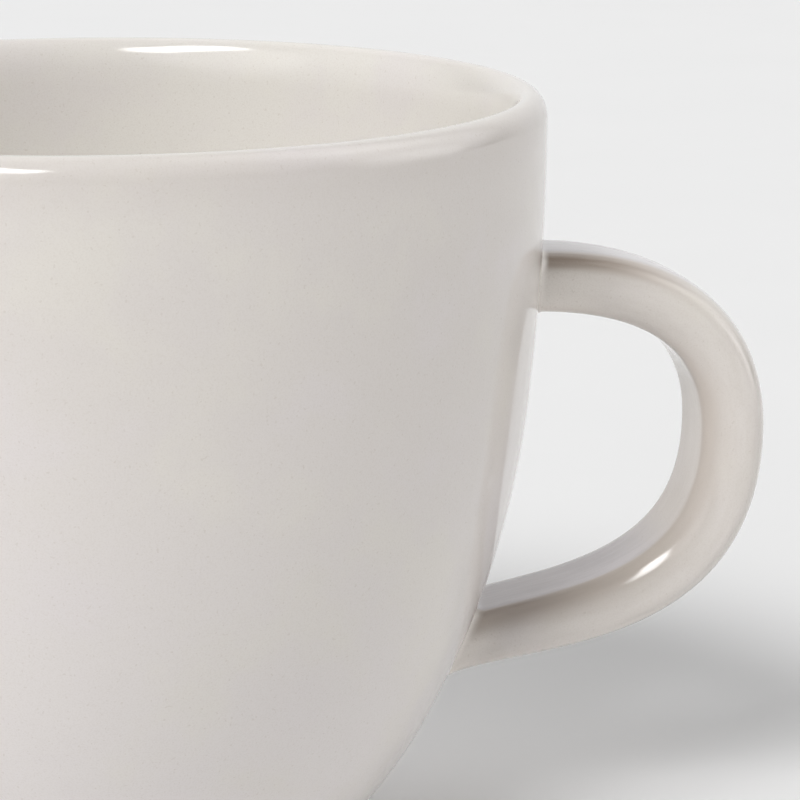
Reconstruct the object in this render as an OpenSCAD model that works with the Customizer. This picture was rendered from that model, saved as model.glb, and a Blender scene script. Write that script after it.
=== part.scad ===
// Soup mug: a stoneware cup with a strap handle luted to its wall.
// Z points up, the mug's axis is Z, the foot stands on z = 0 and the handle points along +X.

/* [Body] */
// Outside diameter at the lip
rim_d = 120; // [110:1:140]
// Height from the table to the top of the lip
mug_h = 102; // [88:1:120]
// Thickness of the wall; the lip is a full round of this thickness
wall = 5; // [3.5:0.1:6.5]
// Thickness of the floor over the recess in the foot
floor_t = 5.5; // [4:0.1:9]

/* [Wall curve] */
// Lean of the wall, from upright, where the upper arc meets the belly arc
upper_lean = 6.7; // [5:0.1:8.5]
// Lean of the wall where the belly arc meets the foot arc
belly_lean = 27.3; // [24:0.1:30]
// Lean of the wall where the foot arc meets the foot ring
foot_lean = 46.5; // [43:0.5:55]
// Radius of the belly arc as a share of the upper arc's radius
belly_share = 0.365; // [0.3:0.005:0.45]

/* [Foot] */
// Outside diameter of the foot ring
foot_d = 64; // [54:1:72]
// Height of the foot ring's outside, up to the wall
foot_h = 2; // [1:0.1:4]
// Width of the foot ring
foot_ring_w = 4.5; // [3:0.1:8]
// Depth of the recess inside the foot ring
recess_h = 2.5; // [1:0.1:4]
// Radius on the two lower edges of the foot ring
foot_edge_r = 0.8; // [0.2:0.1:1.5]

/* [Handle] */
// Height at which the strap's middle line leaves the wall
upper_root_h = 75.6; // [70:0.1:82]
// Height at which the strap's middle line comes back to the wall
lower_root_h = 26; // [18:0.1:34]
// Height at which the strap stands out furthest
grip_h = 54.5; // [46:0.1:62]
// How far the handle stands out beyond the lip
handle_out = 31.1; // [24:0.1:40]
// Width of the strap at the grip
grip_w = 17.5; // [12:0.1:22]
// Thickness of the strap at the grip
grip_t = 9.3; // [7:0.1:12]
// Width of the strap at its roots
root_w = 17; // [12:0.1:22]
// Thickness of the strap at its upper root
upper_root_t = 8.2; // [6:0.1:11]
// Thickness of the strap at its lower root
lower_root_t = 7.4; // [6:0.1:11]
// Slope of the strap, downwards from the wall, at the upper root
upper_root_angle = 1; // [-4:0.5:8]
// Slope of the strap, downwards to the wall, at the lower root
lower_root_angle = 16; // [5:0.5:22]
// Share of the strap's thickness that lies outside its widest line, at the roots
root_outer_share = 0.5; // [0.35:0.01:0.6]
// The same share at the grip
grip_outer_share = 0.36; // [0.3:0.01:0.6]
// Squareness of the section outside the widest line, at the roots: 2 is an ellipse, and more is squarer
root_power = 3.6; // [2:0.1:6]
// The same squareness at the grip
grip_power = 2.3; // [2:0.1:6]
// Squareness of the section inside the widest line, all along the strap
inner_power = 2.2; // [2:0.1:4]
// Share of the depth inside the widest line that the flat inner face leaves, at the roots
root_flat_share = 0.72; // [0.6:0.01:1]
// The same share at the grip
grip_flat_share = 0.79; // [0.6:0.01:1]
// How far the ridges at the sides of the flat inner face are blunted
ridge_blunt = 0.5; // [0.2:0.1:1.5]
// Radius of the fillet by which the strap flares out onto the wall
fillet_r = 1.5; // [1:0.1:3]

/* [Slip joints] */
// Thickness of the bed of slip between the strap's end and the wall
slip_t = 0.5; // [0.2:0.1:1]

/* [Hidden] */

// Sides of the turned shapes and of the strap's section
turned_sides = 180;
strap_sides = 40;
// Steps along each of the strap's two runs and over each fillet
run_steps = 20;
fillet_steps = 6;
// Largest turn between neighbouring points on the wall's arcs, on the floor arc and on rounded edges
wall_step = 2;
floor_step = 4;
edge_step = 15;

clay_colour = [0.83, 0.81, 0.78];
strap_colour = [0.80, 0.77, 0.73];
slip_colour = [0.72, 0.68, 0.63];

rim_r = rim_d / 2;
foot_r = foot_d / 2;
lip_r = wall / 2;
lip_z = mug_h - lip_r;
floor_z = recess_h + floor_t;
recess_r = foot_r - foot_ring_w;
// The foot's edge radius takes up no more than this share of the foot ring's sides.
edge_limit_share = 0.4;
edge_r = min(foot_edge_r, edge_limit_share * min(foot_h, recess_h, foot_ring_w));

// The outside of the wall is three tangent arcs that curve in more and more towards the foot.
// Each entry is the lean at an arc's upper end, and the last is the lean at the foot.
leans = [0, upper_lean, belly_lean, foot_lean];

// Fall and inset of a unit arc between two neighbouring leans
function unit_fall(i) = sin(leans[i + 1]) - sin(leans[i]);
function unit_inset(i) = cos(leans[i]) - cos(leans[i + 1]);

// The upper and foot radii are solved so that the chain runs from the lip to the foot ring.
wall_fall = lip_z - foot_h;
wall_inset = rim_r - foot_r;
upper_fall = unit_fall(0) + belly_share * unit_fall(1);
upper_inset = unit_inset(0) + belly_share * unit_inset(1);
chain_det = upper_fall * unit_inset(2) - upper_inset * unit_fall(2);
upper_arc_r = (wall_fall * unit_inset(2) - wall_inset * unit_fall(2)) / chain_det;
foot_arc_r = (wall_inset * upper_fall - wall_fall * upper_inset) / chain_det;
arc_radii = [upper_arc_r, belly_share * upper_arc_r, foot_arc_r];

// Upper end of an arc on the wall's outside, and its centre
function arc_top(i) = i == 0
    ? [rim_r, lip_z]
    : arc_top(i - 1) - arc_radii[i - 1] * [unit_inset(i - 1), unit_fall(i - 1)];
function arc_centre(i) = arc_top(i) + arc_radii[i] * [-cos(leans[i]), sin(leans[i])];
centres = [for (i = [0 : 2]) arc_centre(i)];

// Point at a lean on an arc; the points after an arc's first, so that arcs can be chained
function arc_point(centre, radius, lean) = centre + radius * [cos(lean), -sin(lean)];
function arc_run(centre, radius, from, to, step) =
    let (steps = ceil(abs(to - from) / step))
    [for (k = [1 : steps]) arc_point(centre, radius, from + (to - from) * k / steps)];

// The wall's outside from the lip down to the foot ring, offset outwards by grow
function wall_chain(grow) = concat(
    [[rim_r + grow, lip_z]],
    [for (i = [0 : 2])
        each arc_run(centres[i], arc_radii[i] + grow, leans[i], leans[i + 1], wall_step)]
);

// Arc i of the wall's inside, upwards
function inner_up(i) = arc_run(centres[i], arc_radii[i] - wall, leans[i + 1], leans[i], wall_step);

// Arc of the wall at a height, and the radius of its outside there
function wall_arc(z) = z > arc_top(1).y ? 0 : z > arc_top(2).y ? 1 : 2;
function wall_r(z) =
    let (i = wall_arc(z))
    centres[i].x + sqrt(arc_radii[i] ^ 2 - (centres[i].y - z) ^ 2);

// How far a point lies outside the wall, and the wall's direction outwards there
function from_arc(p) = [norm([p.x, p.y]), p.z] - centres[wall_arc(p.z)];
function wall_gap(p) = norm(from_arc(p)) - arc_radii[wall_arc(p.z)];
function wall_normal(p) =
    let (n = unit(from_arc(p)))
    [n.x * p.x / norm([p.x, p.y]), n.x * p.y / norm([p.x, p.y]), n.y];
function unit(v) = v / norm(v);

// Inside, one arc runs on from the belly arc until it is level with the floor.
inner_joint = arc_point(centres[1], arc_radii[1] - wall, belly_lean);
floor_arc_r = (inner_joint.y - floor_z) / (1 - sin(belly_lean));
floor_centre = [inner_joint.x - floor_arc_r * cos(belly_lean), floor_z + floor_arc_r];

// Half of the cup's section: up the inside, over the lip, down the outside and under the foot
cup_outline = concat(
    [[0, recess_h], [0, floor_z], arc_point(floor_centre, floor_arc_r, 90)],
    arc_run(floor_centre, floor_arc_r, 90, belly_lean, floor_step),
    inner_up(1),
    inner_up(0),
    arc_run([rim_r - lip_r, lip_z], lip_r, -180, -edge_step, edge_step),
    wall_chain(0),
    [[foot_r, edge_r]],
    arc_run([foot_r - edge_r, edge_r], edge_r, 0, 90, edge_step),
    [[recess_r + edge_r, 0]],
    arc_run([recess_r + edge_r, edge_r], edge_r, 90, 180, edge_step),
    [[recess_r, recess_h]]
);

module body() {
    color(clay_colour)
        rotate_extrude($fn = turned_sides)
            polygon(cup_outline);
}

// The strap's middle line is two cubic runs in the plane y = 0, each from a root on the wall to the grip.
// Their pulls are shares of the run's reach and of its height. A run is its four points, then the strap's
// thickness at its root.
upper_pull_shares = [0.93, 0.29];
lower_pull_shares = [0.33, 0.92];
grip_point = [rim_r + handle_out - grip_t / 2, grip_h];
function run(root_h, angle, pull_shares, root_t) =
    let (root = [wall_r(root_h), root_h], reach = grip_point - root)
    [
        root,
        root + pull_shares[0] * reach.x * [cos(angle), -sin(angle)],
        grip_point - [0, pull_shares[1] * reach.y],
        grip_point,
        root_t
    ];
upper_run = run(upper_root_h, upper_root_angle, upper_pull_shares, upper_root_t);
lower_run = run(lower_root_h, -lower_root_angle, lower_pull_shares, lower_root_t);

// Point on a run for t from 0 to 1, and the direction across it; side is 1 where the loop's outside is
// on the run's left and -1 where it is on the right
function run_point(p, t) =
    (1 - t) ^ 3 * p[0] + 3 * t * (1 - t) ^ 2 * p[1] + 3 * t ^ 2 * (1 - t) * p[2] + t ^ 3 * p[3];
function run_slope(p, t) =
    (1 - t) ^ 2 * (p[1] - p[0]) + 2 * t * (1 - t) * (p[2] - p[1]) + t ^ 2 * (p[3] - p[2]);
function across(p, side, t) = let (d = unit(run_slope(p, t))) side * [-d.y, d.x];

// The section is two squared half ellipses that meet in the widest line; the inner one is cut off flat.
// It changes from the roots to the grip, and gives a point and its normal, each as [across, outwards].
function swell(root, grip, t) = root + (grip - root) * sin(90 * t);
function squared(c, power) = sign(c) * abs(c) ^ power;
function section(p, t, turn) =
    let (
        outside = sin(turn) > 0,
        half_w = swell(root_w, grip_w, t) / 2,
        thick = swell(p[4], grip_t, t),
        outer_t = thick * swell(root_outer_share, grip_outer_share, t),
        inner_t = thick - outer_t,
        half_t = outside ? outer_t : inner_t / swell(root_flat_share, grip_flat_share, t),
        power = 2 / (outside ? swell(root_power, grip_power, t) : inner_power),
        over_flat = half_t * squared(sin(turn), power) + inner_t,
        blunted = norm([over_flat, ridge_blunt]),
        normal = [squared(cos(turn), 2 - power) / half_w, squared(sin(turn), 2 - power) / half_t]
    )
    [
        [half_w * squared(cos(turn), power), (over_flat + blunted - thick) / 2],
        [normal.x * (1 + over_flat / blunted) / 2, normal.y]
    ];

// The section's point and normal in space, where a run carries it
function placed(v, out) = [v.y * out.x, v.x, v.y * out.y];
function skin_point(p, side, t, turn) =
    let (middle = run_point(p, t))
    [middle.x, 0, middle.y] + placed(section(p, t, turn)[0], across(p, side, t));
function skin_normal(p, side, t, turn) = unit(placed(section(p, t, turn)[1], across(p, side, t)));

// A ball of the fillet's radius rolls in the corner between strap and wall, and dips into the wall a little.
fillet_dip = 0.1;
function ball(p, side, t, turn) =
    skin_point(p, side, t, turn) + fillet_r * skin_normal(p, side, t, turn);

// Where on a run the fillet begins, at a turn round the section, by halving the span that holds it
run_span = [-0.25, 0.75];
halvings = 24;
function fillet_t(p, side, turn, low = run_span[0], high = run_span[1], left = halvings) =
    let (middle = (low + high) / 2)
    left == 0
        ? middle
        : wall_gap(ball(p, side, middle, turn)) > fillet_r - fillet_dip
            ? fillet_t(p, side, turn, low, middle, left - 1)
            : fillet_t(p, side, turn, middle, high, left - 1);

// How far the strap's end goes into the wall before it is cut to the wall's curve
root_sink = wall / 2;

// Point on the fillet, from the strap at share 0 to the wall at share 1
function fillet_point(centre, from, to, share) =
    let (angle = acos(from * to))
    centre - fillet_r * (sin((1 - share) * angle) * from + sin(share * angle) * to) / sin(angle);

// One of the strap's side lines: from inside the wall, over the fillet and along the run to the grip
function side_line(p, side, turn) =
    let (
        t = fillet_t(p, side, turn),
        centre = ball(p, side, t, turn),
        from = skin_normal(p, side, t, turn),
        to = wall_normal(centre)
    )
    concat(
        [centre - (fillet_r + root_sink) * to],
        [for (i = [fillet_steps : -1 : 1]) fillet_point(centre, from, to, i / fillet_steps)],
        [for (i = [0 : run_steps]) skin_point(p, side, t + (1 - t) * i / run_steps, turn)]
    );
function side_lines(p, side) =
    [for (k = [0 : strap_sides - 1]) side_line(p, side, 360 * k / strap_sides)];
upper_lines = side_lines(upper_run, 1);
lower_lines = side_lines(lower_run, -1);

// Ring i of a bundle of side lines, and its rings up to the last one wanted
function ring(lines, i) = [for (line = lines) line[i]];
function rings(lines, last) = [for (i = [0 : last]) ring(lines, i)];
function backwards(list) = [for (i = [len(list) - 1 : -1 : 0]) list[i]];
function centre_of(list) = [for (p = list) 1] * list / len(list);

// A closed loft through rings, with a fan of triangles at either end
module loft(all_rings) {
    n = strap_sides;
    last = len(all_rings) - 1;
    points = concat(
        [for (r = all_rings) each r],
        [centre_of(all_rings[0]), centre_of(all_rings[last])]
    );
    first_tip = len(points) - 2;
    last_tip = len(points) - 1;
    sides = [for (i = [0 : last - 1], k = [0 : n - 1])
        let (a = i * n + k, b = i * n + (k + 1) % n)
        each [[a, a + n, b + n], [a, b + n, b]]];
    first_fan = [for (k = [0 : n - 1]) [first_tip, k, (k + 1) % n]];
    last_fan = [for (k = [0 : n - 1]) [last_tip, last * n + (k + 1) % n, last * n + k]];
    polyhedron(points, concat(first_fan, sides, last_fan));
}

// The strap ends where the slip on the wall begins.
grip_ring = len(upper_lines[0]) - 1;
module handle() {
    color(strap_colour)
        difference() {
            loft(concat(
                rings(upper_lines, grip_ring),
                backwards(rings(lower_lines, grip_ring - 1))
            ));
            rotate_extrude($fn = turned_sides)
                polygon(concat([[0, lip_z]], wall_chain(slip_t), [[0, foot_h]]));
        }
}

// A skin of slip all over the wall's outside, from which the two beds are taken
module slip_skin() {
    rotate_extrude($fn = turned_sides)
        polygon(concat(wall_chain(slip_t), backwards(wall_chain(0))));
}

// Share of a run past its fillet, and the ring there, that lies clear of the slip
bed_share = 0.15;
bed_ring = fillet_steps + 1 + ceil(bed_share * run_steps);

module upper_slip_joint() {
    color(slip_colour)
        intersection() {
            loft(rings(upper_lines, bed_ring));
            slip_skin();
        }
}

module lower_slip_joint() {
    color(slip_colour)
        intersection() {
            loft(backwards(rings(lower_lines, bed_ring)));
            slip_skin();
        }
}

body();
handle();
upper_slip_joint();
lower_slip_joint();
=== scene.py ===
"""Soup mug: the looks of a glazed stoneware cup with a strap handle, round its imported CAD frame."""

import math

import bmesh
import bpy
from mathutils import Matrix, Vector


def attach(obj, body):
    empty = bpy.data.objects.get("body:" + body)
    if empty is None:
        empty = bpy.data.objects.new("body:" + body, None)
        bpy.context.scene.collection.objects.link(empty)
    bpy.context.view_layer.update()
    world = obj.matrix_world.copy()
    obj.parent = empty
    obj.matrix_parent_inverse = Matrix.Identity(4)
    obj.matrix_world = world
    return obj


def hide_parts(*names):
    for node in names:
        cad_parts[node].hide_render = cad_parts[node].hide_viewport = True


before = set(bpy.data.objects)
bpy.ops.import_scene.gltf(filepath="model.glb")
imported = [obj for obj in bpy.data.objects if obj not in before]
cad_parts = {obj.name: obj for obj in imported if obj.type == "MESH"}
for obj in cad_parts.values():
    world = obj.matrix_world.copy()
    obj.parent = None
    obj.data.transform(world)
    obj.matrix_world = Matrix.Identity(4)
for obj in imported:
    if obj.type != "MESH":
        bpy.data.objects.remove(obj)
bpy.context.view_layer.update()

# Sizes are in millimetres, in the CAD frame: Z is up, the foot stands on z = 0, the handle is on +X.
MM = 0.001
QUARTER = math.pi / 2

# Cup
RIM_R = 60.0
MUG_H = 102.0
WALL = 5.0
# How far the lip's round reaches down the inside and the outside
LIP_DEPTHS = (6.5, 3.4)
FLOOR_Z = 8.0
# The wall's lean at the lip, where its three arcs meet, and at the foot
LEANS = [math.radians(a) for a in (0.0, 6.7, 27.3, 46.5)]
# Radius of the middle arc as a share of the upper arc's
BELLY_SHARE = 0.365
FOOT_R = 32.0
FOOT_H = 2.0
FOOT_RING_W = 4.5
RECESS_R = FOOT_R - FOOT_RING_W
RECESS_H = 2.5
FOOT_EDGE_R = 0.8
RECESS_FILLET_R = 1.2

# Handle
UPPER_ROOT_H = 75.6
LOWER_ROOT_H = 26.0
GRIP_H = 54.5
HANDLE_OUT = 31.1
UPPER_DIP = math.radians(1.0)
LOWER_DIP = math.radians(-16.0)
UPPER_PULL_SHARES = (0.93, 0.29)
LOWER_PULL_SHARES = (0.33, 0.92)
UPPER_ROOT_T = 8.2
LOWER_ROOT_T = 7.4
GRIP_T = 9.3
# The strap's section at the roots and at the grip: width, share of the thickness outside the widest
# line, squareness of that outer half, and how much of the inner half is kept above its flat face
WIDTHS = (17.0, 17.5)
OUTER_SHARES = (0.5, 0.36)
OUTER_POWERS = (3.6, 2.3)
FLAT_SHARES = (0.72, 0.79)
INNER_POWER = 2.2
RIDGE_BLUNT = 0.5
FILLET_R = 1.5
FILLET_DIP = 0.1
SLIP_T = 0.5

# Mesh steps
CUP_SIDES = 240
LEVEL_STEPS = 6
FLOOR_STEPS = 28
WALL_STEPS = 24
LIP_STEPS = 20
EDGE_STEPS = 8
STRAP_SIDES = 128
RUN_STEPS = 48
FILLET_STEPS = 10
# Part of a run in which its fillet can start, and how often it is halved to find the place
FILLET_RANGE = (-0.25, 0.75)
HALVINGS = 30
# Faces that meet at more than this angle are shaded as an edge
SHARP = math.radians(40)

# Thin glaze on the lip's outer shoulder: how thin, and over what height
LIP_THIN = 0.08
LIP_THIN_H = 3.0
# Tilts of the strap's normal, in degrees, over which a ridge begins and ends
RIDGE_BEGINS = (8, 48)
RIDGE_ENDS = (87, 77)
# How far the normal points up where the glaze begins to run off a ridge, which painted shade darkens,
# and where painted shade with a cool reflected tint begins on a face
RUN_OFF_AND_SHADE_UPS = (-0.05, 0.35)
COOL_SHADE_UPS = (0.55, 0.95)
# Place on a run where the outer ridges' thin glaze and painted shade end
OUTER_THIN_AND_SHADE_END = 1 / 2.2
# How thin the inner ridges' glaze is, with painted shade, at the root and at the grip, as it runs off,
# and round the grip
INNER_THIN_AND_SHADE = (0.64, 0.30)
GRIP_THIN_AND_SHADE = 0.34
GRIP_THIN_AND_SHADE_BEGINS = (0.3, 0.8)
# Share of a run over which the painted light at its root fades out
ROOT_LIGHT_SHARE = 0.15
# Length that half of the strap has in the glaze's pattern, which is drawn out along the strap
FLOW_L = 8.0
SLIP_THIN = 0.1


def unit(v):
    return v / v.length


def squared(c, power):
    return math.copysign(abs(c) ** power, c)


def mix(a, b, share):
    return a + (b - a) * share


def fade(x, start, end):
    """A smooth step from 0 at the start to 1 at the end."""
    x = min(max((x - start) / (end - start), 0.0), 1.0)
    return x * x * (3 - 2 * x)


def arc(centre, radius, start, end, steps):
    """Points on an arc after its first. Angles count down from +X to -Z, as the wall's lean does."""
    angles = [start + (end - start) * i / steps for i in range(1, steps + 1)]
    return [(centre[0] + radius * math.cos(a), centre[1] - radius * math.sin(a)) for a in angles]


def solve_wall():
    """The wall's three tangent arcs, from the lip to the foot ring, as (centre x, centre z, radius)."""
    falls = [math.sin(b) - math.sin(a) for a, b in zip(LEANS, LEANS[1:])]
    insets = [math.cos(a) - math.cos(b) for a, b in zip(LEANS, LEANS[1:])]
    lip_z = MUG_H - WALL / 2
    fall, inset = lip_z - FOOT_H, RIM_R - FOOT_R
    upper_fall = falls[0] + BELLY_SHARE * falls[1]
    upper_inset = insets[0] + BELLY_SHARE * insets[1]
    det = upper_fall * insets[2] - upper_inset * falls[2]
    upper_r = (fall * insets[2] - inset * falls[2]) / det
    foot_r = (inset * upper_fall - fall * upper_inset) / det
    arcs, x, z = [], RIM_R, lip_z
    for i, radius in enumerate((upper_r, BELLY_SHARE * upper_r, foot_r)):
        arcs.append((x - radius * math.cos(LEANS[i]), z + radius * math.sin(LEANS[i]), radius))
        x -= radius * insets[i]
        z -= radius * falls[i]
    return arcs


ARCS = solve_wall()
ARC_TOPS = [z - r * math.sin(lean) for (x, z, r), lean in zip(ARCS, LEANS)]


def wall_arc(z):
    """The wall's arc at a height."""
    return ARCS[0 if z > ARC_TOPS[1] else 1 if z > ARC_TOPS[2] else 2]


def wall_r(z):
    x, centre_z, radius = wall_arc(z)
    return x + math.sqrt(radius**2 - (centre_z - z) ** 2)


def wall_gap(p):
    """How far a point lies outside the wall."""
    x, z, radius = wall_arc(p.z)
    return math.hypot(math.hypot(p.x, p.y) - x, p.z - z) - radius


def wall_normal(p):
    x, z, radius = wall_arc(p.z)
    r = math.hypot(p.x, p.y)
    n = unit(Vector((r - x, p.z - z)))
    return Vector((n.x * p.x / r, n.x * p.y / r, n.y))


def lip_lean(inset, depth):
    """The wall's lean at a depth under the lip, on the outside or inset from it."""
    x, z, radius = ARCS[0]
    return math.asin((z - MUG_H + depth) / (radius - inset))


def cup_inside():
    """Half of the inside's section, from the axis over the floor and up to the lip's round."""
    lean = LEANS[2]
    x, z, radius = ARCS[1]
    joint_x = x + (radius - WALL) * math.cos(lean)
    joint_z = z - (radius - WALL) * math.sin(lean)
    floor_r = (joint_z - FLOOR_Z) / (1 - math.sin(lean))
    centre = (joint_x - floor_r * math.cos(lean), FLOOR_Z + floor_r)
    outline = [(centre[0] * s / LEVEL_STEPS, FLOOR_Z) for s in range(LEVEL_STEPS + 1)]
    outline += arc(centre, floor_r, QUARTER, lean, FLOOR_STEPS)
    leans = [lip_lean(WALL, LIP_DEPTHS[0])] + LEANS[1:]
    for i in (1, 0):
        x, z, radius = ARCS[i]
        outline += arc((x, z), radius - WALL, leans[i + 1], leans[i], WALL_STEPS)
    return outline


def cup_lip(inner_r):
    """The lip's section: a quarter of an oval up from the inside, and another down to the outside."""
    inside, outside = LIP_DEPTHS
    crest_r = RIM_R - WALL / 2
    inner_w = crest_r - inner_r
    outer_w = wall_r(MUG_H - outside) - crest_r
    turns = [QUARTER * s / LIP_STEPS for s in range(1, LIP_STEPS + 1)]
    rise = [(crest_r - inner_w * math.cos(a), MUG_H - inside * (1 - math.sin(a))) for a in turns]
    fall = [(crest_r + outer_w * math.sin(a), MUG_H - outside * (1 - math.cos(a))) for a in turns]
    return rise + fall


def cup_outside():
    """Half of the outside's section, from the lip's round down to the foot ring."""
    leans = [lip_lean(0, LIP_DEPTHS[1])] + LEANS[1:]
    outline = []
    for i, (x, z, radius) in enumerate(ARCS):
        outline += arc((x, z), radius, leans[i], leans[i + 1], WALL_STEPS)
    return outline


def cup_foot():
    """Half of the foot's section, from its outside under the ring and over the recess to the axis."""
    edge = FOOT_EDGE_R
    outline = [(FOOT_R, edge)]
    outline += arc((FOOT_R - edge, edge), edge, 0, QUARTER, EDGE_STEPS)
    outline += [(RECESS_R + edge, 0)]
    outline += arc((RECESS_R + edge, edge), edge, QUARTER, 2 * QUARTER, EDGE_STEPS)
    corner = (RECESS_R - RECESS_FILLET_R, RECESS_H - RECESS_FILLET_R)
    outline += [(RECESS_R, corner[1])]
    outline += arc(corner, RECESS_FILLET_R, 0, -QUARTER, EDGE_STEPS)
    outline += [(corner[0] * s / LEVEL_STEPS, RECESS_H) for s in range(LEVEL_STEPS - 1, -1, -1)]
    return outline


def cup_outline():
    """Half of the cup's section, from the axis up the inside, over the lip and back under the foot."""
    inside = cup_inside()
    return inside + cup_lip(inside[-1][0]) + cup_outside() + cup_foot()


def insideness(r, z):
    """1 on the cup's inside, 0 on its outside, and in between over the lip."""
    return fade(wall_r(z) - r, 0, WALL) if z >= FLOOR_Z else 0.0


def lip_thinness(r, z):
    """How thin the glaze lies on the lip: most on its outer shoulder, from where it runs down."""
    if r <= RIM_R - WALL / 2:
        return 0.0
    shoulder_z = MUG_H - LIP_DEPTHS[1]
    return LIP_THIN * math.exp(-(((z - shoulder_z) / LIP_THIN_H) ** 2))


def make_piece(name, points, faces, traits, node, material):
    """A smooth mesh piece, from points in millimetres, that stands for a CAD node.

    Its traits are named lists with a number or a place in millimetres for each point. The material
    reads them."""
    mesh = bpy.data.meshes.new(name)
    mesh.from_pydata([Vector(p) * MM for p in points], [], faces)
    bm = bmesh.new()
    bm.from_mesh(mesh)
    bmesh.ops.recalc_face_normals(bm, faces=bm.faces)
    for face in bm.faces:
        face.smooth = True
    for edge in bm.edges:
        edge.smooth = edge.calc_face_angle() < SHARP
    bm.to_mesh(mesh)
    bm.free()
    for trait, values in traits.items():
        if isinstance(values[0], float):
            mesh.attributes.new(trait, "FLOAT", "POINT").data.foreach_set("value", values)
        else:
            places = [c * MM for place in values for c in place]
            mesh.attributes.new(trait, "FLOAT_VECTOR", "POINT").data.foreach_set("vector", places)
    mesh.materials.append(material)
    piece = bpy.data.objects.new(name, mesh)
    bpy.context.scene.collection.objects.link(piece)
    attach(piece, "root")
    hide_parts(node)


def lofted(rings, tips):
    """Points and faces of a closed loft through rings, with a fan of triangles to a tip at each end."""
    n = len(rings[0])
    points = [p for ring in rings for p in ring]
    first_tip, last_tip = len(points), len(points) + 1
    last = len(points) - n
    faces = []
    for k in range(n):
        j = (k + 1) % n
        for a in range(0, last, n):
            b = a + n
            faces.append((a + k, a + j, b + j, b + k))
        faces += [(first_tip, j, k), (last_tip, last + k, last + j)]
    return points + tips, faces


def turned(outline, sides):
    """Points and faces of an outline turned about Z; its first and last points are on the axis."""
    angles = [2 * math.pi * k / sides for k in range(sides)]
    rings = [[(r * math.cos(a), r * math.sin(a), z) for a in angles] for r, z in outline[1:-1]]
    return lofted(rings, [(0, 0, outline[0][1]), (0, 0, outline[-1][1])])


def capped(rings):
    """Points and faces of a loft whose ends are closed at their middles."""
    return lofted(rings, [sum(ring, Vector()) / len(ring) for ring in (rings[0], rings[-1])])


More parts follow.
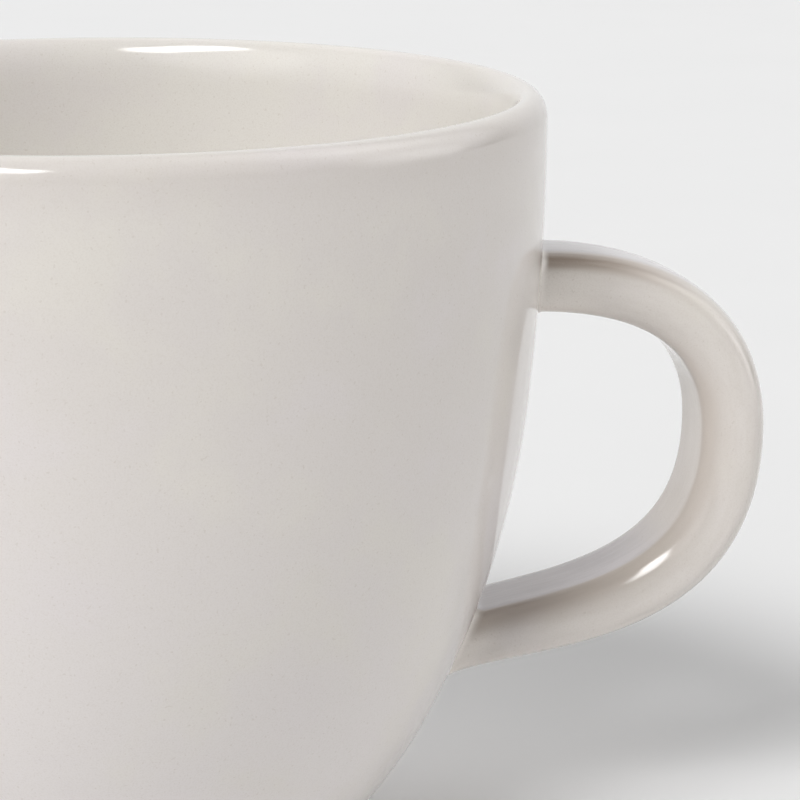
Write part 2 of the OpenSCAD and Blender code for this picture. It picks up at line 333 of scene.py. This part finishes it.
class Run:
    """One half of the strap: a cubic from a root on the wall to the grip, with the section round it."""

    def __init__(self, root_h, root_t, dip, pull_shares, side):
        grip = Vector((RIM_R + HANDLE_OUT - GRIP_T / 2, GRIP_H))
        root = Vector((wall_r(root_h), root_h))
        reach = grip - root
        leave = Vector((math.cos(dip), -math.sin(dip)))
        arrive = grip - Vector((0, pull_shares[1] * reach.y))
        self.controls = (root, root + pull_shares[0] * reach.x * leave, arrive, grip)
        self.thicks = (root_t, GRIP_T)
        self.side = side

    def middle(self, t):
        a, b, c, d = self.controls
        return (1 - t) ** 3 * a + 3 * t * (1 - t) ** 2 * b + 3 * t**2 * (1 - t) * c + t**3 * d

    def across(self, t):
        """The direction towards the outside of the handle's loop, square to the run."""
        a, b, c, d = self.controls
        slope = unit((1 - t) ** 2 * (b - a) + 2 * t * (1 - t) * (c - b) + t**2 * (d - c))
        return self.side * Vector((-slope.y, slope.x))

    def section(self, t, turn):
        """A point of the strap's section, across and outwards, and the outward normal there."""
        swell = math.sin(QUARTER * t)
        ends = (WIDTHS, self.thicks, OUTER_SHARES, OUTER_POWERS, FLAT_SHARES)
        width, thick, outer_share, power, flat_share = [mix(a, b, swell) for a, b in ends]
        half_w, half_t, inner_t = width / 2, outer_share * thick, (1 - outer_share) * thick
        if math.sin(turn) < 0:
            half_t, power = inner_t / flat_share, INNER_POWER
        w = half_w * squared(math.cos(turn), 2 / power)
        over_flat = half_t * squared(math.sin(turn), 2 / power) + inner_t
        blunted = math.hypot(over_flat, RIDGE_BLUNT)
        h = (over_flat + blunted - thick) / 2
        normal_w = squared(math.cos(turn), 2 - 2 / power) / half_w * (1 + over_flat / blunted) / 2
        normal_h = squared(math.sin(turn), 2 - 2 / power) / half_t
        return (w, h), (normal_w, normal_h)

    def coat(self, t, turn):
        """How thin the glaze lies on a ridge, with painted shade near the roots, and how much painted
        shade with a cool reflected tint a face that looks up gets.
        """
        w, h = self.section(t, turn)[1]
        tilt = math.degrees(math.atan2(abs(h), abs(w)))
        ridge = fade(tilt, *RIDGE_BEGINS) * fade(tilt, *RIDGE_ENDS)
        up = self.normal(t, turn).z
        run_off_and_shade = fade(up, *RUN_OFF_AND_SHADE_UPS)
        if h > 0:
            # thin glaze and painted shade along the outer ridges near the root
            thin_and_shade = run_off_and_shade * fade(t, OUTER_THIN_AND_SHADE_END, 0)
        else:
            round_grip = GRIP_THIN_AND_SHADE * fade(t, *GRIP_THIN_AND_SHADE_BEGINS)
            thin_and_shade = max(run_off_and_shade * mix(*INNER_THIN_AND_SHADE, fade(t, 0, 1)), round_grip)
        # the ridges' thin glaze carries painted shade near the roots; faces that look up get painted
        # shade with a cool reflected tint
        return ridge * thin_and_shade, fade(up, *COOL_SHADE_UPS) * (1 - ridge)

    def flow(self, t, turn):
        """The place of a point in the glaze's pattern, as if the strap were straight and short."""
        return (self.side * (1 - t) * FLOW_L, *self.section(t, turn)[0])

    def placed(self, t, w, h):
        out = self.across(t)
        return Vector((h * out.x, w, h * out.y))

    def skin(self, t, turn):
        middle = self.middle(t)
        return Vector((middle.x, 0, middle.y)) + self.placed(t, *self.section(t, turn)[0])

    def normal(self, t, turn):
        return unit(self.placed(t, *self.section(t, turn)[1]))

    def fillet_start(self, turn):
        """Where on the run a ball in the corner between strap and wall touches the strap."""
        low, high = FILLET_RANGE
        for _ in range(HALVINGS):
            t = (low + high) / 2
            if wall_gap(self.skin(t, turn) + FILLET_R * self.normal(t, turn)) > FILLET_R - FILLET_DIP:
                high = t
            else:
                low = t
        return t

    def side_line(self, turn):
        """Points of the slip's edge, from the wall, and of the strap, from the slip to the grip.

        The glaze on the strap's points comes with them."""
        t = self.fillet_start(turn)
        start = self.normal(t, turn)
        centre = self.skin(t, turn) + FILLET_R * start
        end = wall_normal(centre)
        angle = start.angle(end)
        slip_share = 1 - math.acos((FILLET_R - FILLET_DIP - SLIP_T) / FILLET_R) / angle

        def fillet(share):
            swing = math.sin((1 - share) * angle) * start + math.sin(share * angle) * end
            return centre - FILLET_R * swing / math.sin(angle)

        def glaze_at(u, share=1.0):
            thin_and_shade, cool_shade = self.coat(u, turn)
            # the third value is painted light, fading out along the run from the root
            return thin_and_shade * share, cool_shade, fade(u - t, ROOT_LIGHT_SHARE, 0), self.flow(u, turn)

        steps = [i / FILLET_STEPS for i in range(FILLET_STEPS + 1)]
        slip = [fillet(1 - (1 - slip_share) * s) for s in steps]
        flare = [fillet(slip_share * (1 - s)) for s in steps[:-1]]
        along = [t + (1 - t) * i / RUN_STEPS for i in range(RUN_STEPS + 1)]
        strap = [self.skin(u, turn) for u in along]
        coats = [glaze_at(t, s) for s in steps[:-1]] + [glaze_at(u) for u in along]
        return slip, flare + strap, coats

    def rings(self):
        """The rings of the slip bed and of this half of the strap, and the glaze on the strap."""
        lines = [self.side_line(2 * math.pi * k / STRAP_SIDES) for k in range(STRAP_SIDES)]
        return [[list(ring) for ring in zip(*part)] for part in zip(*lines)]


class Shader:
    """Short names for building a node material."""

    def __init__(self, name):
        self.material = bpy.data.materials.new(name)
        self.material.use_nodes = True
        self.tree = self.material.node_tree
        self.bsdf = self.tree.nodes["Principled BSDF"]
        self.place = self.node("ShaderNodeTexCoord").outputs["Object"]
        self.height = self.sum(self.part("ShaderNodeSeparateXYZ", self.place, "Z"), 1 / MM)

    def node(self, kind, **values):
        made = self.tree.nodes.new(kind)
        for key, value in values.items():
            setattr(made, key, value)
        return made

    def link(self, output, socket):
        self.tree.links.new(output, socket)

    def part(self, kind, output, name):
        """One named output of a node that takes a single input."""
        made = self.node(kind)
        self.link(output, made.inputs[0])
        return made.outputs[name]

    def trait(self, name, kind="Fac"):
        """A trait of the mesh: a number, or a place where the kind is Vector."""
        return self.node("ShaderNodeAttribute", attribute_name=name).outputs[kind]

    def sum(self, value, times, more=0.0):
        """A value times a number, plus a number or another output."""
        made = self.node("ShaderNodeMath", operation="MULTIPLY_ADD")
        self.link(value, made.inputs[0])
        made.inputs[1].default_value = times
        if isinstance(more, float):
            made.inputs[2].default_value = more
        else:
            self.link(more, made.inputs[2])
        return made.outputs["Value"]

    def noise(self, size, detail=2.0, roughness=0.5, place=None):
        """Noise whose lumps are about size millimetres across."""
        made = self.node("ShaderNodeTexNoise")
        made.inputs["Scale"].default_value = 1 / (size * MM)
        made.inputs["Detail"].default_value = detail
        made.inputs["Roughness"].default_value = roughness
        self.link(place or self.place, made.inputs["Vector"])
        return made.outputs["Fac"]

    def ramp(self, factor, low, high, to_low=0.0, to_high=1.0):
        """A value mapped smoothly from one range to another."""
        made = self.node("ShaderNodeMapRange", interpolation_type="SMOOTHSTEP")
        values = {"From Min": low, "From Max": high, "To Min": to_low, "To Max": to_high}
        for key, value in values.items():
            made.inputs[key].default_value = value
        self.link(factor, made.inputs["Value"])
        return made.outputs["Result"]

    def blend(self, factor, a, b):
        """Colour a where factor is 0 and b where it is 1; each is a colour or an output."""
        made = self.node("ShaderNodeMix", data_type="RGBA")
        self.link(factor, made.inputs["Factor"])
        for value, key in ((a, "A"), (b, "B")):
            socket = next(s for s in made.inputs if s.name == key and s.type == "RGBA")
            if isinstance(value, tuple):
                socket.default_value = (*value, 1.0)
            else:
                self.link(value, socket)
        return next(s for s in made.outputs if s.type == "RGBA")

    def bump(self, height, depth):
        """Bump of depth millimetres."""
        made = self.node("ShaderNodeBump")
        made.inputs["Strength"].default_value = 1.0
        made.inputs["Distance"].default_value = depth * MM
        self.link(height, made.inputs["Height"])
        self.link(made.outputs["Normal"], self.bsdf.inputs["Normal"])


# Colours of the glaze low and high on the cup, on the strap, inside the cup, in warm and cool clouds,
# of the painted light at the roots, of the painted shade with a cool reflected tint on faces that look
# up, of thin glaze darkened by painted shade, and of the specks in it and the foot's bare clay
LOW_GLAZE = (0.765, 0.727, 0.712)
HIGH_GLAZE = (0.705, 0.665, 0.633)
STRAP_GLAZE = (0.735, 0.692, 0.652)
INSIDE_GLAZE = (0.775, 0.748, 0.705)
WARM_GLAZE = (0.755, 0.725, 0.650)
COOL_GLAZE = (0.735, 0.690, 0.695)
# painted light for the handle's roots and slip beds
ROOT_LIGHT_GLAZE = (0.87, 0.82, 0.768)
# painted shade with a cool reflected tint, for faces that look up
COOL_SHADE_GLAZES = ((0.60, 0.57, 0.588), (0.68, 0.652, 0.67))
# thin brown glaze, also used as painted shade on the strap's ridges
THIN_AND_SHADE_GLAZES = ((0.32, 0.255, 0.205), (0.42, 0.35, 0.295))
SPECK = (0.52, 0.46, 0.40)
CLAY = (0.56, 0.47, 0.37)
# Heights between which the cup's colour changes, and between which the glaze ends over the foot
COLOUR_HEIGHTS = (5, 85)
WIPE_HEIGHTS = (1.5, 1.25)
WIPE_WAVE = 0.9
# Sizes of the lumps in the glaze's patterns
CLOUD_L = 22.0
STREAK_L = 1.8
GRAIN_L = 0.22
SPECK_L = 0.36
WIPE_L = 4.0
GLOSS_L = 9.0
SKIN_L = 5.0
# Values of the noise over which each pattern sets in
EVEN_NOISE = (0.3, 0.7)
WARM_NOISE = (0.5, 0.7)
COOL_NOISE = (0.5, 0.3)
GRAIN_NOISE = (0.4, 0.75)
SPECK_NOISE = (0.74, 0.82)
# How far a pattern changes the colour at most
CLOUD_SHARE = 0.4
STREAK_SHARE = 0.1
GRAIN_SHARE = 0.13
SPECK_SHARE = 0.25
# Least and most roughness of the glaze, and what bare clay adds
GLOSSES = (0.05, 0.09)
CLAY_ROUGH = 0.6
GLAZE_IOR = 1.5
# Depth of the skin's waves, and what the flow marks and the bare clay have of it
SKIN_DEPTH = 0.012
STREAK_SKIN = 0.6
CLAY_SKIN = 3.0


def glaze_colour(s, low, high, streaks, streaky):
    """The glaze's colour: what its place on the mug gives it, with painted light at the roots and
    painted shade on ridges and upward faces, then its grain and specks.
    """
    colour = s.blend(s.ramp(s.height, *COLOUR_HEIGHTS), low, high)
    colour = s.blend(s.trait("inside"), colour, INSIDE_GLAZE)
    clouds = s.noise(CLOUD_L, 4.0, 0.6)
    colour = s.blend(s.ramp(clouds, *WARM_NOISE, 0.0, CLOUD_SHARE), colour, WARM_GLAZE)
    colour = s.blend(s.ramp(clouds, *COOL_NOISE, 0.0, CLOUD_SHARE), colour, COOL_GLAZE)
    colour = s.blend(s.sum(streaks, STREAK_SHARE * streaky), colour, THIN_AND_SHADE_GLAZES[1])
    # painted light where the strap meets the wall and over the slip beds, lifting the shade there
    colour = s.blend(s.trait("root_light"), colour, ROOT_LIGHT_GLAZE)
    # painted shade with a cool reflected tint on faces that look up, varied by the flow marks
    colour = s.blend(s.trait("cool_shade"), colour, s.blend(streaks, *COOL_SHADE_GLAZES))
    # thin brown glaze on the ridges, darkened with painted shade near the roots
    colour = s.blend(s.trait("thin_and_shade"), colour, s.blend(streaks, *THIN_AND_SHADE_GLAZES))
    grain = s.ramp(s.noise(GRAIN_L, 1.0), *GRAIN_NOISE, 0.0, GRAIN_SHARE)
    specks = s.ramp(s.noise(SPECK_L, 0.0), *SPECK_NOISE, 0.0, SPECK_SHARE)
    return s.blend(specks, s.blend(grain, colour, SPECK), SPECK)


def glaze(name, low, high, streaky):
    """Glossy stoneware glaze: slow clouds, a fine grain, faint specks, and a skin not quite flat.

    It is creamier inside the cup, has painted light where the strap meets the wall, thins to a warm
    brown on edges, which painted shade darkens near the roots, has painted shade with a cool reflected
    tint on faces that look up, and is wiped off the foot. Where it is streaky, flow marks run along the
    strap."""
    s = Shader(name)
    streaks = s.ramp(s.noise(STREAK_L, 3.0, 0.6, s.trait("flow", "Vector")), *EVEN_NOISE)
    wiped = s.ramp(s.sum(s.noise(WIPE_L), WIPE_WAVE, s.height), *WIPE_HEIGHTS)
    colour = glaze_colour(s, low, high, streaks, streaky)
    s.link(s.blend(wiped, colour, CLAY), s.bsdf.inputs["Base Color"])
    gloss = s.ramp(s.noise(GLOSS_L), *EVEN_NOISE, *GLOSSES)
    s.link(s.sum(wiped, CLAY_ROUGH, gloss), s.bsdf.inputs["Roughness"])
    s.bsdf.inputs["IOR"].default_value = GLAZE_IOR
    skin = s.sum(wiped, CLAY_SKIN, s.noise(SKIN_L, 1.0))
    s.bump(s.sum(streaks, STREAK_SKIN * streaky, skin), SKIN_DEPTH)
    return s.material


def make_cup(material):
    points, faces = turned(cup_outline(), CUP_SIDES)
    rounds = [(math.hypot(x, y), z) for x, y, z in points]
    traits = {
        "inside": [insideness(*p) for p in rounds],
        "thin_and_shade": [lip_thinness(*p) for p in rounds],
    }
    make_piece("cup", points, faces, traits, "body", material)


def make_slip(name, rings, material):
    points, faces = capped(rings)
    # the slip beds get thin glaze and the full painted light of the roots
    traits = {"thin_and_shade": [SLIP_THIN] * len(points), "root_light": [1.0] * len(points)}
    make_piece(name, points, faces, traits, name + "_joint", material)


def make_handle(material):
    """The strap and the slip beds at its roots."""
    upper = Run(UPPER_ROOT_H, UPPER_ROOT_T, UPPER_DIP, UPPER_PULL_SHARES, 1)
    lower = Run(LOWER_ROOT_H, LOWER_ROOT_T, LOWER_DIP, LOWER_PULL_SHARES, -1)
    upper_slip, upper_strap, upper_coats = upper.rings()
    lower_slip, lower_strap, lower_coats = lower.rings()
    points, faces = capped(upper_strap + lower_strap[-2::-1])
    coats = [coat for ring in upper_coats + lower_coats[-2::-1] for coat in ring]
    hidden_coat = (0.0, 0.0, 1.0, (0.0, 0.0, 0.0))
    coats += [hidden_coat] * 2
    traits = dict(zip(("thin_and_shade", "cool_shade", "root_light", "flow"), zip(*coats)))
    make_piece("strap_handle", points, faces, traits, "handle", material)
    make_slip("upper_slip", upper_slip, material)
    make_slip("lower_slip", lower_slip, material)


# Half the paper's side, in metres, its two tones, and the size of the clouds that they make
PAPER_REACH = 6.0
PAPER_TONES = ((0.80, 0.80, 0.80), (0.82, 0.82, 0.82))
PAPER_CLOUD_L = 60.0
PAPER_ROUGH = 0.6


def make_floor():
    """A plain pale floor that reaches past everything the camera sees."""
    reach = PAPER_REACH
    mesh = bpy.data.meshes.new("floor")
    corners = [(-reach, -reach, 0), (reach, -reach, 0), (reach, reach, 0), (-reach, reach, 0)]
    mesh.from_pydata(corners, [], [(0, 1, 2, 3)])
    s = Shader("floor_paper")
    s.link(s.blend(s.noise(PAPER_CLOUD_L), *PAPER_TONES), s.bsdf.inputs["Base Color"])
    s.bsdf.inputs["Roughness"].default_value = PAPER_ROUGH
    mesh.materials.append(s.material)
    floor = bpy.data.objects.new("floor", mesh)
    bpy.context.scene.collection.objects.link(floor)


# Soft panels of light round the mug: azimuth from +X towards +Y, elevation, outer and inner half angle,
# all in degrees, and strength
PANELS = [
    (218, 50, 10, 5, 11.5),
    (230, 46, 10, 5, 11.5),
    (242, 42, 10, 5, 11.5),
    (222, 28, 30, 10, 1.5),
    (0, 30, 34, 10, 1.5),
    (350, 5, 24, 8, 1.4),
    (0, 58, 28, 10, 0.8),
    (120, 58, 28, 10, 0.9),
    (75, 5, 60, 25, 0.85),
    (180, 5, 50, 22, 0.6),
]


def panel_light(tree, place, azimuth, elevation, outer, inner, strength):
    """The light of one panel by direction: full inside its inner angle, and none past its outer one."""
    a, e = math.radians(azimuth), math.radians(elevation)
    facing = tree.nodes.new("ShaderNodeVectorMath")
    facing.operation = "DOT_PRODUCT"
    facing.inputs[1].default_value = (math.cos(e) * math.cos(a), math.cos(e) * math.sin(a), math.sin(e))
    tree.links.new(place, facing.inputs[0])
    light = tree.nodes.new("ShaderNodeMapRange")
    light.interpolation_type = "SMOOTHSTEP"
    light.inputs["From Min"].default_value = math.cos(math.radians(outer))
    light.inputs["From Max"].default_value = math.cos(math.radians(inner))
    light.inputs["To Max"].default_value = strength
    tree.links.new(facing.outputs["Value"], light.inputs["Value"])
    return light.outputs["Result"]


def make_lights():
    """A studio of soft panels: a key at the front left, pale walls, nothing bright behind the camera."""
    world = bpy.data.worlds.new("studio")
    world.use_nodes = True
    bpy.context.scene.world = world
    tree = world.node_tree
    background = tree.nodes["Background"]
    background.inputs["Color"].default_value = (1, 1, 1, 1)
    place = tree.nodes.new("ShaderNodeTexCoord").outputs["Generated"]
    total, *others = [panel_light(tree, place, *panel) for panel in PANELS]
    for light in others:
        add = tree.nodes.new("ShaderNodeMath")
        tree.links.new(total, add.inputs[0])
        tree.links.new(light, add.inputs[1])
        total = add.outputs["Value"]
    tree.links.new(total, background.inputs["Strength"])


# The camera's place, how far it looks down and turns right from +Y, in degrees, and its lens
CAMERA_PLACE = (-51.6, -510.6, 170.2)
CAMERA_DOWN = 12.09
CAMERA_RIGHT = 10.32
SENSOR_W = 36.0
LENS = 177.3
# Nearest and furthest distance that it sees, in metres
CLIP = (0.01, 50.0)


def make_camera():
    """The photograph's view: a long lens, a little above the rim, with the handle on the right."""
    camera = bpy.data.cameras.new("camera")
    camera.sensor_width = SENSOR_W
    camera.lens = LENS
    camera.clip_start, camera.clip_end = CLIP
    eye = bpy.data.objects.new("camera", camera)
    eye.location = Vector(CAMERA_PLACE) * MM
    eye.rotation_euler = (math.radians(90 - CAMERA_DOWN), 0, math.radians(-CAMERA_RIGHT))
    bpy.context.scene.collection.objects.link(eye)
    bpy.context.scene.camera = eye


make_cup(glaze("body_glaze", LOW_GLAZE, HIGH_GLAZE, 0.0))
make_handle(glaze("handle_glaze", STRAP_GLAZE, STRAP_GLAZE, 1.0))
make_floor()
make_lights()
make_camera()
bpy.context.scene.view_settings.view_transform = "Standard"
